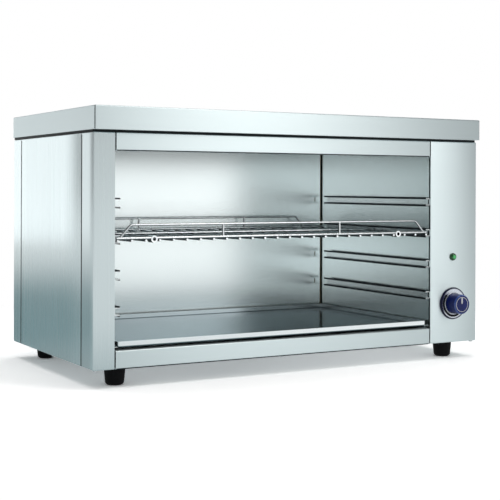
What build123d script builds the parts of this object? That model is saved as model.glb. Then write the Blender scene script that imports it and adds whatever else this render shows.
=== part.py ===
from build123d import *
import os

os.makedirs("parts", exist_ok=True)

# Electric cheese melter: an open-fronted grill cabinet of folded stainless steel sheet.
# Millimetres. +Z is up, the front faces -Y, and the origin is on the floor under the cap's centre.

# ---- Driving dimensions ----

# Sheet work
sheet = 1.2
bend_radius = 2.0
seam = 0.8

# Cap and shell
cap_width = 800.0
cap_depth = 418.0
cap_height = 39.0
cap_front_overhang = 8.0
cap_overhang = 1.5
cap_gap = 4.2
cap_return = 26.0
shell_height = 386.0
post_width = 37.5
fascia_width = 112.0
corner_wrap = 52.0
rear_wrap = 44.0
header_height = 29.5
rail_height = 30.2
trim_gap = 2.4
top_flange = 18.0
bottom_flange = 15.0
rear_bottom_flange = 14.0
header_return = 20.0
rail_return = 16.0
rail_hem = 8.0
panel_flange = 26.0
end_flange = 12.0
seam_notch = 3.0

# Chamber
rear_space = 27.5
ceiling_drop = 5.0
corner_gap = 3.5
tab_slot_length = 10.0
tab_slot_width = 2.0
tab_slot_inset = 16.5
liner_flange = 12.0
liner_front_flange = 15.0
slab_gap = 1.0
top_slab_thickness = 32.0
right_slab_thickness = 12.0
slab_end_margin = 16.0

# Runners, ledges
runner_levels = 4
runner_pitch = 59.0
runner_top = 308.0
runner_height = 13.0
runner_depth = 10.0
runner_rear_gap = 26.5
runner_setback = 1.5
levels_above_rack = 1
ledge_width = 18.0
ledge_height = 15.0
ledge_setback = 17.0

# Wire rack
rack_side_gap = 5.25
rack_rear_gap = 14.5
rack_setback = 4.5
grid_spaces = 25
grid_wire = 4.0
cross_rod = 5.0
weld_sink = 0.4
rod_inset = 3.0
guard_wire = 4.0
guard_height = 22.0
guard_front_inset = 25.5
guard_rear_inset = 71.5
guard_splay = 19.5
guard_bend = 9.0
upright_spacing = 240.0
socket_inset = 67.5
socket_outer = 12.0
socket_bore = 6.0
socket_length = 18.0
seat_gap = 0.3
weld_gap = 0.05

# Crumb tray
tray_side_gap = 7.75
tray_rear_gap = 13.0
tray_height = 9.5
tray_setback = 4.0
tray_rise = 4.2
tray_corner = 4.0
tray_hem_height = 2.6

# Heating elements
element_count = 3
element_pitch = 100.0
element_leg_spacing = 50.0
element_diameter = 8.0
element_drop = 10.0
element_offset = -15.0
element_left_margin = 65.0
element_tail = 38.0
element_clearance = 0.3
bracket_inset = 160.0
bracket_height = 16.0
bracket_flange = 12.0
bracket_margin = 12.0
bush_neck = 12.0
bush_collar = 16.0
bush_collar_thickness = 2.0
bush_reach = 4.0
bush_clearance = 0.1
stud_diameter = 4.0
stud_length = 14.0
stud_collar = 7.0
stud_collar_length = 3.0
link_width = 10.0

# Control column
knob_axis_inset = 58.0
knob_height_above_shell = 75.0
lamp_height_above_shell = 164.4
regulator_width = 42.0
regulator_depth = 34.0
regulator_bush = 10.0
regulator_bush_reach = 3.2
shaft_diameter = 6.0
shaft_reach = 22.0
shaft_flat = 2.4
running_clearance = 0.05
hole_clearance = 0.2
regulator_screw = 3.5
regulator_screw_spacing = 22.0
regulator_screw_head = 6.5
regulator_screw_head_height = 2.0
ring_diameter = 61.0
ring_thickness = 4.0
ring_opening = 30.0
ring_lip = 2.0
ring_dish = 0.8
scale_inner = 43.0
scale_outer = 52.0
scale_depth = 0.8
scale_start = 135.0
scale_sweep = 165.0
knob_diameter = 38.6
knob_front_diameter = 37.0
knob_reach = 29.0
knob_ring_gap = 0.6
knob_wall = 2.6
knob_front_wall = 4.0
knob_rim = 1.9
knob_face_recess = 0.8
knob_hub = 11.0
pointer_width = 3.6
pointer_length = 12.0
pointer_depth = 0.6
pointer_offset = 7.0
lamp_flange = 14.6
lamp_flange_height = 1.6
lamp_barrel = 10.0
lamp_barrel_length = 26.0
lens_diameter = 10.6
lens_seat = 0.8
lens_rise = 2.2
lamp_nut = 15.0
lamp_nut_thickness = 3.0

# Supply entry
gland_height_above_shell = 45.0
gland_thread = 16.0
gland_bore = 9.0
gland_collar = 24.0
gland_collar_thickness = 5.0
gland_reach = 22.5
gland_dome = 20.0
gland_tail = 10.0
gland_nut_size = 22.0
gland_nut_thickness = 4.0
block_width = 50.0
block_depth = 24.0
block_height = 20.0
block_poles = 3
block_pole_pitch = 14.0
block_pole_bore = 5.0
lead_diameter = 2.4
lead_bend = 5.0
lead_offset = 14.0
lead_drop = 10.0
block_setback = 90.0

# Vents
vent_length = 60.0
vent_width = 5.0
vent_pitch = 13.0
vent_count = 8
base_vent_count = 6

# Feet and fasteners
foot_height = 31.0
foot_top_diameter = 37.0
foot_bottom_diameter = 31.0
foot_edge = 6.0
foot_inset_x = 53.5
foot_front_inset = 37.5
foot_rear_inset = 34.0
foot_counterbore = 13.0
foot_counterbore_depth = 14.0
foot_screw = 6.0
foot_screw_head = 11.0
foot_screw_head_height = 4.0
foot_nut_size = 10.0
foot_nut_thickness = 5.0
screw = 4.0
screw_head = 7.6
screw_head_height = 2.4
spacer_diameter = 12.0
spacer_inset = 14.5
spacer_span = 260.0
spacer_rear_span = 400.0
base_screw_inset = 7.0
base_screw_rear_span = 500.0

# ---- Levels and faces worked out from them ----

half_width = cap_width / 2 - cap_overhang
front_y = -cap_depth / 2 + cap_front_overhang
rear_y = cap_depth / 2 - cap_overhang
shell_bottom = foot_height
shell_top = shell_bottom + shell_height
cap_bottom = shell_top + cap_gap
cap_top = cap_bottom + cap_height
left_x = -half_width + post_width
right_x = half_width - fascia_width
chamber_mid = (left_x + right_x) / 2
back_y = rear_y - rear_space
panel_front = front_y + corner_wrap + seam
panel_rear = rear_y - rear_wrap - seam
base_bottom = shell_bottom + sheet
base_top = base_bottom + sheet
ceiling_z = shell_top - ceiling_drop
wall_front = front_y + sheet
wall_rear = back_y - corner_gap
rail_top = shell_bottom + rail_height
header_bottom = shell_top - header_height
slab_bottom = base_top + sheet + seat_gap

front_plane = Plane.XZ.offset(-front_y)
rear_plane = Plane.XZ.offset(-rear_y)


def block(low, high, mode=Mode.ADD):
    """Box between two opposite corners."""
    size = [b - a for a, b in zip(low, high)]
    middle = [(a + b) / 2 for a, b in zip(low, high)]
    with Locations(tuple(middle)):
        return Box(*size, mode=mode)


def folded(plane, points, side=Side.LEFT):
    """Section of a folded sheet whose outer face runs through the points, with rounded bends."""
    with BuildSketch(plane) as section:
        with BuildLine():
            FilletPolyline(*points, radius=bend_radius)
            offset(amount=sheet, side=side)
        make_face()
    return section.sketch


def sheet_box(low, high, open_sides):
    """Folded box with rounded outer edges, open on the sides that the axes point to."""
    with BuildPart() as shell:
        block(low, high)
        open_edges = [edge for axis in open_sides for edge in shell.faces().sort_by(axis)[-1].edges()]
        closed_edges = [edge for edge in shell.edges() if edge not in open_edges]
        fillet(closed_edges, radius=bend_radius)
        offset(amount=-sheet, openings=[shell.faces().sort_by(axis)[-1] for axis in open_sides])
    return shell.part


def save(piece, name):
    """Label a finished piece and write it under its own name."""
    piece.part.label = name
    export_step(piece.part, f"parts/{name}.step")


# ---- Cap ----

spacer_x = half_width - spacer_inset
spacer_rear_y = rear_y - spacer_inset
spacer_spots = [(x, y) for x in (-spacer_x, spacer_x) for y in (-spacer_span / 2, spacer_span / 2)]
spacer_spots += [(x, spacer_rear_y) for x in (-spacer_rear_span / 2, spacer_rear_span / 2)]
clearance_radius = screw / 2 + hole_clearance / 2

with BuildPart() as top_cover:
    add(sheet_box(
        (-cap_width / 2, -cap_depth / 2, cap_bottom),
        (cap_width / 2, cap_depth / 2, cap_top),
        [-Axis.Z],
    ))
    # The skirt's lower edge turns inwards all round, and the cap is held by this return.
    with BuildSketch(Plane.XY.offset(cap_bottom)):
        RectangleRounded(cap_width, cap_depth, bend_radius)
        Rectangle(cap_width - 2 * cap_return, cap_depth - 2 * cap_return, mode=Mode.SUBTRACT)
        with Locations(*spacer_spots):
            Circle(clearance_radius, mode=Mode.SUBTRACT)
    extrude(amount=sheet)
save(top_cover, "top_cover")

with BuildPart() as cap_spacers:
    with BuildSketch(Plane.XY.offset(shell_top)):
        with Locations(*spacer_spots):
            Circle(spacer_diameter / 2)
            Circle(clearance_radius, mode=Mode.SUBTRACT)
    extrude(amount=cap_gap)
save(cap_spacers, "cap_spacers")

with BuildPart() as cap_screws:
    with BuildSketch(Plane.XY.offset(shell_top - sheet - screw_head_height)):
        with Locations(*spacer_spots):
            Circle(screw_head / 2)
    extrude(amount=screw_head_height)
    with BuildSketch(Plane.XY.offset(shell_top - sheet)):
        with Locations(*spacer_spots):
            Circle(screw / 2)
    extrude(amount=cap_gap + 3 * sheet)
save(cap_screws, "cap_screws")

# ---- Outer shell ----

base_spots = [(x, 0) for x in (-half_width + base_screw_inset, half_width - base_screw_inset)]
base_spots += [(x, rear_y - base_screw_inset) for x in (-base_screw_rear_span / 2, 0, base_screw_rear_span / 2)]
base_spots += [(x, front_y + base_screw_inset) for x in (-half_width + base_screw_inset, chamber_mid,
                                                         half_width - base_screw_inset)]


def drill_flanges():
    """Screw holes through the flanges of an outer panel, above and below."""
    for height, spots in ((shell_bottom, base_spots), (shell_top - sheet, spacer_spots)):
        with BuildSketch(Plane.XY.offset(height)) as holes:
            with Locations(*spots):
                Circle(clearance_radius)
        extrude(holes.sketch, amount=sheet, mode=Mode.SUBTRACT)


with BuildPart() as front_left_post:
    add(sheet_box(
        (-half_width, front_y, shell_bottom),
        (left_x, front_y + corner_wrap, shell_top),
        [Axis.Y, Axis.X],
    ))
    # Upper and lower flanges leave room for the foot and the top slab.
    block(
        (-half_width + panel_flange, front_y + bottom_flange, shell_bottom),
        (left_x, front_y + corner_wrap, shell_top),
        mode=Mode.SUBTRACT,
    )
    # Corner relief at the foot of the side seam.
    block(
        (-half_width, front_y + corner_wrap - seam_notch, shell_bottom),
        (-half_width + sheet + seam_notch, front_y + corner_wrap, shell_bottom + seam_notch),
        mode=Mode.SUBTRACT,
    )
    drill_flanges()
save(front_left_post, "front_left_post")

knob_x = half_width - knob_axis_inset
knob_z = shell_bottom + knob_height_above_shell
lamp_z = shell_bottom + lamp_height_above_shell
regulator_screw_spots = [(knob_x - regulator_screw_spacing / 2, knob_z), (knob_x + regulator_screw_spacing / 2, knob_z)]

with BuildPart() as control_fascia:
    add(sheet_box(
        (right_x, front_y, shell_bottom),
        (half_width, front_y + corner_wrap, shell_top),
        [Axis.Y, -Axis.X],
    ))
    block(
        (right_x, front_y + bottom_flange, shell_bottom),
        (half_width - panel_flange, front_y + corner_wrap, shell_top),
        mode=Mode.SUBTRACT,
    )
    with BuildSketch(front_plane):
        with Locations((knob_x, knob_z)):
            Circle(regulator_bush / 2 + hole_clearance)
        with Locations(*regulator_screw_spots):
            Circle(regulator_screw / 2 + hole_clearance)
        with Locations((knob_x, lamp_z)):
            Circle(lamp_barrel / 2 + hole_clearance)
    extrude(amount=-sheet, mode=Mode.SUBTRACT)
    block(
        (half_width - sheet - seam_notch, front_y + corner_wrap - seam_notch, shell_bottom),
        (half_width, front_y + corner_wrap, shell_bottom + seam_notch),
        mode=Mode.SUBTRACT,
    )
    drill_flanges()
save(control_fascia, "control_fascia")

with BuildPart() as header_panel:
    extrude(
        folded(Plane.YZ.offset(left_x + trim_gap), [
            (front_y + top_flange, shell_top),
            (front_y, shell_top),
            (front_y, header_bottom),
            (front_y + header_return, header_bottom),
            (front_y + header_return, ceiling_z - seat_gap),
        ]),
        amount=right_x - left_x - 2 * trim_gap,
    )
save(header_panel, "header_panel")

with BuildPart() as bottom_rail:
    extrude(
        folded(Plane.YZ.offset(left_x + trim_gap), [
            (front_y + rail_return, rail_top - rail_hem),
            (front_y + rail_return, rail_top),
            (front_y, rail_top),
            (front_y, shell_bottom),
            (front_y + bottom_flange, shell_bottom),
        ]),
        amount=right_x - left_x - 2 * trim_gap,
    )
    drill_flanges()
save(bottom_rail, "bottom_rail")

with BuildPart() as left_side_panel:
    extrude(
        folded(Plane.XZ.offset(-panel_rear), [
            (-half_width + panel_flange, shell_top),
            (-half_width, shell_top),
            (-half_width, shell_bottom),
            (-half_width + panel_flange, shell_bottom),
        ]),
        amount=panel_rear - panel_front,
    )
    # The front and rear edges turn inwards behind the seams.
    for edge_y in (panel_front, panel_rear - sheet):
        block(
            (-half_width, edge_y, shell_bottom + end_flange),
            (-half_width + end_flange, edge_y + sheet, shell_top - end_flange),
        )
    drill_flanges()
save(left_side_panel, "left_side_panel")

with BuildPart() as right_side_panel:
    mirror(left_side_panel.part, about=Plane.YZ)
save(right_side_panel, "right_side_panel")

gland_x = knob_x
gland_z = shell_bottom + gland_height_above_shell
vent_z = (shell_bottom + shell_top) / 2

with BuildPart() as back_panel:
    add(sheet_box(
        (-half_width, rear_y - rear_wrap, shell_bottom),
        (half_width, rear_y, shell_top),
        [-Axis.Y],
    ))
    # The lower flange stops behind the rear feet, the upper one behind the top slab.
    for level, flange_depth in ((shell_bottom, rear_bottom_flange), (shell_top - sheet, panel_flange)):
        block(
            (-half_width + panel_flange, rear_y - rear_wrap, level),
            (half_width - panel_flange, rear_y - flange_depth, level + sheet),
            mode=Mode.SUBTRACT,
        )
    # Vent slots behind the control column, and the hole for the cable gland.
    with BuildSketch(rear_plane):
        with Locations((knob_x, vent_z)):
            with GridLocations(0, vent_pitch, 1, vent_count):
                SlotOverall(vent_length, vent_width)
        with Locations((gland_x, gland_z)):
            Circle(gland_thread / 2 + hole_clearance)
    extrude(amount=sheet, mode=Mode.SUBTRACT)
    drill_flanges()
save(back_panel, "back_panel")

foot_x = half_width - foot_inset_x
foot_front_y = front_y + foot_front_inset
foot_rear_y = rear_y - foot_rear_inset
foot_spots = {
    "front_left": (-foot_x, foot_front_y),
    "front_right": (foot_x, foot_front_y),
    "rear_left": (-foot_x, foot_rear_y),
    "rear_right": (foot_x, foot_rear_y),
}

with BuildPart() as base_plate:
    with BuildSketch(Plane.XY.offset(base_bottom)):
        with Locations((0, (front_y + rear_y) / 2)):
            Rectangle(2 * (half_width - bend_radius - sheet), rear_y - front_y - 2 * (bend_radius + sheet))
        with Locations(*foot_spots.values()):
            Circle(foot_screw / 2 + hole_clearance, mode=Mode.SUBTRACT)
        with Locations(*base_spots):
            Circle(clearance_radius, mode=Mode.SUBTRACT)
        # Air inlet under the control column.
        with Locations((knob_x, 0)):
            with GridLocations(0, vent_pitch, 1, base_vent_count):
                SlotOverall(vent_length, vent_width, mode=Mode.SUBTRACT)
    extrude(amount=sheet)
save(base_plate, "base_plate")

with BuildPart() as base_screws:
    with BuildSketch(Plane.XY.offset(shell_bottom - screw_head_height)):
        with Locations(*base_spots):
            Circle(screw_head / 2)
    extrude(amount=screw_head_height)
    with BuildSketch(Plane.XY.offset(shell_bottom)):
        with Locations(*base_spots):
            Circle(screw / 2)
    extrude(amount=3 * sheet)
save(base_screws, "base_screws")

# ---- Grill chamber ----

element_z = ceiling_z - element_drop
element_mid_y = (front_y + back_y) / 2 + element_offset
element_rows = [element_mid_y + (i - (element_count - 1) / 2) * element_pitch for i in range(element_count)]
element_legs = [row + side * element_leg_spacing / 2 for row in element_rows for side in (-1, 1)]

with BuildPart() as chamber_left_wall:
    extrude(
        folded(Plane.XZ.offset(-wall_rear), [
            (left_x - liner_flange, ceiling_z),
            (left_x, ceiling_z),
            (left_x, base_top),
            (left_x - liner_flange, base_top),
        ], side=Side.RIGHT),
        amount=wall_rear - wall_front,
    )
    # Flange that backs the post's face.
    block(
        (left_x - liner_front_flange, wall_front, base_top + liner_flange),
        (left_x, wall_front + sheet, ceiling_z - liner_flange),
    )
save(chamber_left_wall, "chamber_left_wall")

with BuildPart() as chamber_right_wall:
    mirror(chamber_left_wall.part, about=Plane.YZ.offset(chamber_mid))
    # Holes for the bushes of the heating elements.
    with BuildSketch(Plane.YZ.offset(right_x)):
        with Locations(*[(leg_y, element_z) for leg_y in element_legs]):
            Circle(bush_neck / 2 + hole_clearance)
    extrude(amount=sheet, mode=Mode.SUBTRACT)
save(chamber_right_wall, "chamber_right_wall")

with BuildPart() as chamber_back_wall:
    extrude(
        folded(Plane.YZ.offset(left_x + corner_gap), [
            (back_y + liner_flange, ceiling_z),
            (back_y, ceiling_z),
            (back_y, base_top),
            (back_y + liner_flange, base_top),
        ]),
        amount=right_x - left_x - 2 * corner_gap,
    )
    # A slot level with each runner, where the side walls' tabs are hooked in.
    with BuildSketch(Plane.XZ.offset(-back_y)):
        for level in range(runner_levels):
            with Locations((chamber_mid, runner_top - level * runner_pitch - runner_height / 2)):
                with GridLocations(right_x - left_x - 2 * tab_slot_inset, 0, 2, 1):
                    SlotOverall(tab_slot_length, tab_slot_width, rotation=90)
    extrude(amount=-sheet, mode=Mode.SUBTRACT)
save(chamber_back_wall, "chamber_back_wall")

with BuildPart() as ceiling_reflector:
    block(
        (left_x - liner_flange, front_y + rail_return, ceiling_z),
        (right_x + liner_flange, back_y + liner_flange, ceiling_z + sheet),
    )
save(ceiling_reflector, "ceiling_reflector")

# Mineral wool slabs round the chamber.
slab_top = ceiling_z - liner_flange
with BuildPart() as insulation_top:
    block(
        (left_x - liner_flange + bend_radius, front_y + top_flange + bend_radius, ceiling_z + sheet + seat_gap),
        (right_x + liner_flange, rear_y - panel_flange - slab_gap, ceiling_z + sheet + seat_gap + top_slab_thickness),
    )
save(insulation_top, "insulation_top")

with BuildPart() as insulation_left:
    block(
        (-half_width + sheet + slab_gap, panel_front + sheet + slab_gap, slab_bottom),
        (left_x - sheet - slab_gap, panel_rear - sheet - slab_gap, slab_top),
    )
save(insulation_left, "insulation_left")

with BuildPart() as insulation_right:
    block(
        (right_x + sheet + slab_gap, wall_front + slab_end_margin, slab_bottom),
        (right_x + sheet + slab_gap + right_slab_thickness, wall_rear, slab_top - bush_collar / 2),
    )
save(insulation_right, "insulation_right")

with BuildPart() as insulation_back:
    block(
        (left_x, back_y + sheet + slab_gap, slab_bottom),
        (right_x, rear_y - sheet - slab_gap, slab_top),
    )
save(insulation_back, "insulation_back")

# ---- Runners and tray ledges ----

runner_front = front_y + runner_setback
runner_rear = back_y - runner_rear_gap

for level in range(runner_levels):
    top = runner_top - level * runner_pitch
    with BuildPart() as left_runner:
        extrude(
            folded(Plane.XZ.offset(-runner_rear), [
                (left_x + runner_depth, top),
                (left_x, top),
                (left_x, top - runner_height),
                (left_x + runner_depth, top - runner_height),
            ]),
            amount=runner_rear - runner_front,
        )
    save(left_runner, f"left_runner_{level + 1}")

    with BuildPart() as right_runner:
        mirror(left_runner.part, about=Plane.YZ.offset(chamber_mid))
    save(right_runner, f"right_runner_{level + 1}")

tray_bottom = rail_top + tray_rise + seat_gap
ledge_top = tray_bottom - seat_gap

with BuildPart() as left_tray_ledge:
    extrude(
        folded(Plane.XZ.offset(-wall_rear), [
            (left_x + ledge_width, ledge_top),
            (left_x, ledge_top),
            (left_x, ledge_top - ledge_height),
        ]),
        amount=wall_rear - front_y - ledge_setback,
    )
save(left_tray_ledge, "left_tray_ledge")

with BuildPart() as right_tray_ledge:
    mirror(left_tray_ledge.part, about=Plane.YZ.offset(chamber_mid))
save(right_tray_ledge, "right_tray_ledge")

# ---- Wire rack ----

rack_width = right_x - left_x - 2 * rack_side_gap
rack_floor = runner_top - levels_above_rack * runner_pitch - runner_height + sheet
grid_z = rack_floor + seat_gap + grid_wire / 2
rod_z = grid_z + grid_wire / 2 + cross_rod / 2 - weld_sink
rack_front = front_y + rack_setback
rack_rear = back_y - rack_rear_gap
front_rod_y = rack_front + rod_inset
rear_rod_y = rack_rear - rod_inset
grid_pitch = (rack_width - grid_wire) / grid_spaces
socket_spacing = rack_width - 2 * socket_inset

with BuildPart() as rack_grid:
    with BuildSketch(Plane.XZ.offset(-rack_rear)):
        with Locations((chamber_mid, grid_z)):
            with GridLocations(grid_pitch, 0, grid_spaces + 1, 1):
                Circle(grid_wire / 2)
    extrude(amount=rack_rear - rack_front)
    # Cross rods welded on top of the wires.
    with BuildSketch(Plane.YZ.offset(chamber_mid - rack_width / 2)):
        with Locations((front_rod_y, rod_z), ((rack_front + rack_rear) / 2, rod_z), (rear_rod_y, rod_z)):
            Circle(cross_rod / 2)
    extrude(amount=rack_width)
    # Two open sockets on the front rod.
    with BuildSketch(Plane.XZ.offset(-(rack_front + socket_length))):
        with Locations((chamber_mid, grid_z + grid_wire / 2)):
            with GridLocations(socket_spacing, 0, 2, 1):
                Circle(socket_outer / 2)
    extrude(amount=socket_length)
    with BuildSketch(Plane.XZ.offset(-(rack_front + socket_length))):
        with Locations((chamber_mid, grid_z + grid_wire / 2)):
            with GridLocations(socket_spacing, 0, 2, 1):
                Circle(socket_bore / 2)
    extrude(amount=socket_length, mode=Mode.SUBTRACT)
save(rack_grid, "rack_grid")


def guard_loop(rod_y, inset):
    """Raised guard over a cross rod: one bent wire with two uprights, coped onto the rod."""
    half = rack_width / 2 - inset
    top_z = rod_z + guard_height
    with BuildPart() as guard:
        with BuildLine(Plane.XZ.offset(-rod_y)) as path:
            FilletPolyline(
                (chamber_mid - half - guard_splay, rod_z),
                (chamber_mid - half, top_z),
                (chamber_mid + half, top_z),
                (chamber_mid + half + guard_splay, rod_z),
                radius=guard_bend,
            )
        with BuildSketch(Plane(origin=path.line @ 0, z_dir=path.line % 0)):
            Circle(guard_wire / 2)
        sweep()
        with BuildSketch(Plane.XY.offset(rod_z)):
            with Locations((chamber_mid, rod_y)):
                with GridLocations(upright_spacing, 0, 2, 1):
                    Circle(guard_wire / 2)
        extrude(amount=guard_height)
        with BuildSketch(Plane.YZ.offset(chamber_mid - rack_width / 2)):
            with Locations((rod_y, rod_z)):
                Circle(cross_rod / 2 + weld_gap)
                with Locations((0, -cross_rod)):
                    Rectangle(2 * cross_rod, 2 * cross_rod)
        extrude(amount=rack_width, mode=Mode.SUBTRACT)
    return guard.part


with BuildPart() as rack_front_guard:
    add(guard_loop(front_rod_y, guard_front_inset))
save(rack_front_guard, "rack_front_guard")

with BuildPart() as rack_rear_guard:
    add(guard_loop(rear_rod_y, guard_rear_inset))
save(rack_rear_guard, "rack_rear_guard")

# ---- Crumb tray ----

tray_width = right_x - left_x - 2 * tray_side_gap
tray_front = front_y + tray_setback
tray_depth = back_y - tray_rear_gap - tray_front

with BuildPart() as crumb_tray:
    block(
        (chamber_mid - tray_width / 2, tray_front, tray_bottom),
        (chamber_mid + tray_width / 2, tray_front + tray_depth, tray_bottom + tray_height),
    )
    fillet(crumb_tray.edges().filter_by(Axis.Z), radius=tray_corner)
    fillet(crumb_tray.faces().sort_by(Axis.Z)[0].edges(), radius=bend_radius)
    offset(amount=-sheet, openings=crumb_tray.faces().sort_by(Axis.Z)[-1])
    # The rim is hemmed to double thickness on its inner side.
    with BuildSketch(Plane.XY.offset(tray_bottom + tray_height - tray_hem_height)):
        with Locations((chamber_mid, tray_front + tray_depth / 2)):
            RectangleRounded(tray_width, tray_depth, tray_corner)
            RectangleRounded(
                tray_width - 4 * sheet,
                tray_depth - 4 * sheet,
                tray_corner - 2 * sheet,
                mode=Mode.SUBTRACT,
            )
    extrude(amount=tray_hem_height)
save(crumb_tray, "crumb_tray")

# ---- Heating elements under the ceiling ----

element_left = left_x + element_left_margin
element_end = right_x + element_tail
leg_offset = element_leg_spacing / 2

for number, row in enumerate(element_rows, start=1):
    with BuildPart() as heating_element:
        with BuildLine(Plane.XY.offset(element_z)) as hairpin:
            Line((element_end, row + leg_offset), (element_left, row + leg_offset))
            CenterArc((element_left, row), leg_offset, 90, 180)
            Line((element_left, row - leg_offset), (element_end, row - leg_offset))
        with BuildSketch(Plane(origin=hairpin.line @ 0, z_dir=hairpin.line % 0)):
            Circle(element_diameter / 2)
        sweep()
    save(heating_element, f"heating_element_{number}")

bracket_front = element_legs[0] - bracket_margin
bracket_rear = element_legs[-1] + bracket_margin

for side, bracket_x in (("left", left_x + bracket_inset), ("right", right_x - bracket_inset)):
    with BuildPart() as element_bracket:
        with BuildSketch(Plane.YZ.offset(bracket_x)):
            with Locations(((bracket_front + bracket_rear) / 2, ceiling_z - bracket_height / 2)):
                Rectangle(bracket_rear - bracket_front, bracket_height)
            with Locations(*[(leg_y, element_z) for leg_y in element_legs]):
                Circle(element_diameter / 2 + element_clearance, mode=Mode.SUBTRACT)
        extrude(amount=sheet)
        block(
            (bracket_x, bracket_front, ceiling_z - sheet),
            (bracket_x + bracket_flange, bracket_rear, ceiling_z),
        )
    save(element_bracket, f"element_bracket_{side}")

with BuildPart() as element_bushes:
    with BuildSketch(Plane.YZ.offset(right_x - bush_reach)):
        with Locations(*[(leg_y, element_z) for leg_y in element_legs]):
            Circle(bush_neck / 2)
            Circle(element_diameter / 2 + bush_clearance, mode=Mode.SUBTRACT)
    extrude(amount=bush_reach + sheet)
    with BuildSketch(Plane.YZ.offset(right_x + sheet)):
        with Locations(*[(leg_y, element_z) for leg_y in element_legs]):
            Circle(bush_collar / 2)
            Circle(element_diameter / 2 + bush_clearance, mode=Mode.SUBTRACT)
    extrude(amount=bush_collar_thickness)
save(element_bushes, "element_bushes")

with BuildPart() as element_studs:
    with BuildSketch(Plane.YZ.offset(element_end)):
        with Locations(*[(leg_y, element_z) for leg_y in element_legs]):
            Circle(stud_collar / 2)
    extrude(amount=stud_collar_length)
    with BuildSketch(Plane.YZ.offset(element_end + stud_collar_length)):
        with Locations(*[(leg_y, element_z) for leg_y in element_legs]):
            Circle(stud_diameter / 2)
    extrude(amount=stud_length)
save(element_studs, "element_studs")

# The elements are in series: a strip joins each one to the next.
link_x = element_end + stud_collar_length

with BuildPart() as element_links:
    with BuildSketch(Plane.YZ.offset(link_x)):
        for leg, next_leg in zip(element_legs[1::2], element_legs[2::2]):
            with Locations(((leg + next_leg) / 2, element_z)):
                SlotOverall(next_leg - leg + link_width, link_width)
            with Locations((leg, element_z), (next_leg, element_z)):
                Circle(stud_diameter / 2 + running_clearance, mode=Mode.SUBTRACT)
    extrude(amount=sheet)
save(element_links, "element_links")

# ---- Control column ----

knob_axis = Axis((knob_x, front_y, knob_z), (0, -1, 0))
# Sections of turned pieces: radius along X, reach out of the fascia along -Y.
knob_section = Plane(origin=(knob_x, front_y, knob_z), x_dir=(1, 0, 0), z_dir=(0, 0, -1))
lamp_axis = Axis((knob_x, front_y, lamp_z), (0, -1, 0))
lamp_section = Plane(origin=(knob_x, front_y, lamp_z), x_dir=(1, 0, 0), z_dir=(0, 0, -1))
knob_face = Plane(origin=(knob_x, front_y, knob_z), x_dir=(1, 0, 0), z_dir=(0, -1, 0))
lamp_face = Plane(origin=(knob_x, front_y, lamp_z), x_dir=(1, 0, 0), z_dir=(0, -1, 0))

with BuildPart() as regulator_body:
    with BuildSketch(knob_face.offset(-sheet)):
        RectangleRounded(regulator_width, regulator_width, bend_radius)
    extrude(amount=-regulator_depth)
    with BuildSketch(knob_face.offset(-sheet)):
        Circle(regulator_bush / 2)
    extrude(amount=sheet + regulator_bush_reach)
    with BuildSketch(knob_face.offset(-sheet - regulator_depth / 2)):
        Circle(shaft_diameter / 2 + running_clearance)
    extrude(amount=sheet + regulator_depth / 2 + regulator_bush_reach, mode=Mode.SUBTRACT)
    with BuildSketch(knob_face.offset(-sheet)):
        with GridLocations(regulator_screw_spacing, 0, 2, 1):
            Circle(regulator_screw / 2 + hole_clearance / 2)
    extrude(amount=-regulator_depth / 3, mode=Mode.SUBTRACT)
save(regulator_body, "regulator_body")

with BuildPart() as regulator_screws:
    with BuildSketch(knob_face):
        with GridLocations(regulator_screw_spacing, 0, 2, 1):
            Circle(regulator_screw_head / 2)
    extrude(amount=regulator_screw_head_height)
    with BuildSketch(knob_face):
        with GridLocations(regulator_screw_spacing, 0, 2, 1):
            Circle(regulator_screw / 2)
    extrude(amount=-regulator_depth / 3)
save(regulator_screws, "regulator_screws")

shaft_inner = sheet + regulator_depth / 2 - seat_gap

with BuildPart() as regulator_shaft:
    with BuildSketch(knob_face.offset(-shaft_inner)):
        Circle(shaft_diameter / 2)
    extrude(amount=shaft_inner + shaft_reach)
    # Flat on the part that carries the knob.
    with BuildSketch(knob_face.offset(regulator_bush_reach + seat_gap)):
        with Locations((0, shaft_flat + shaft_diameter / 2)):
            Rectangle(shaft_diameter, shaft_diameter)
    extrude(amount=shaft_reach, mode=Mode.SUBTRACT)
save(regulator_shaft, "regulator_shaft")

ring_radius = ring_diameter / 2

with BuildPart() as dial_ring:
    with BuildSketch(knob_section):
        with BuildLine():
            Polyline(
                (ring_opening / 2, 0),
                (ring_radius, 0),
                (ring_radius, ring_thickness / 2),
                (ring_radius - ring_lip / 2, ring_thickness),
                (ring_radius - ring_lip, ring_thickness),
                (ring_radius - ring_lip - ring_dish, ring_thickness - ring_dish),
                (ring_opening / 2, ring_thickness - ring_dish),
                close=True,
            )
        make_face()
    revolve(axis=knob_axis)
    # Groove of the heat scale, from the upper left down round the bottom.
    with BuildSketch(knob_face.offset(ring_thickness - ring_dish)):
        with BuildLine():
            outer_arc = CenterArc((0, 0), scale_outer / 2, scale_start, scale_sweep)
            inner_arc = CenterArc((0, 0), scale_inner / 2, scale_start, scale_sweep)
            Line(outer_arc @ 0, inner_arc @ 0)
            Line(outer_arc @ 1, inner_arc @ 1)
        make_face()
    extrude(amount=-scale_depth, mode=Mode.SUBTRACT)
save(dial_ring, "dial_ring")

knob_base = ring_thickness + knob_ring_gap
bore_end = shaft_reach + seat_gap

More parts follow.
